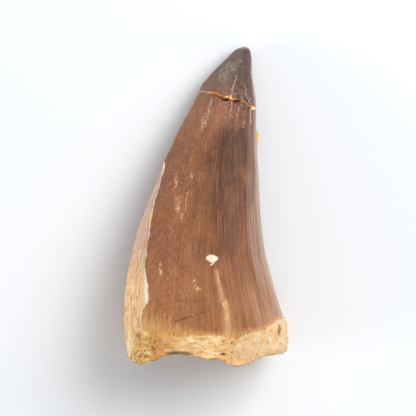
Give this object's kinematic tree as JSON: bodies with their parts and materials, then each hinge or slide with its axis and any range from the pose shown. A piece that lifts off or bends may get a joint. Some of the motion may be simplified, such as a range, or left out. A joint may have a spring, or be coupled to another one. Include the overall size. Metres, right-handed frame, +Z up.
{
  "type": "fossil mosasaur tooth",
  "caption": "Curved conical fossil tooth lying on its side, with a worn pointed tip, a cracked crown and a rough broken base with an open pulp hollow.",
  "frame": {"origin": "centre of the base of the tooth's bounding box, on the surface that it lies on", "axes": "+Y along the tooth towards its tip, +X towards the rear concave edge, +Z up, out of the face that shows"},
  "size_m": [0.033, 0.064, 0.0232],
  "materials": {
    "fossil_enamel": "satin fossil enamel, with rough sandy bone at the base"
  },
  "bodies": {
    "root": {"tooth": "fossil_enamel"}
  },
  "joints": []
}
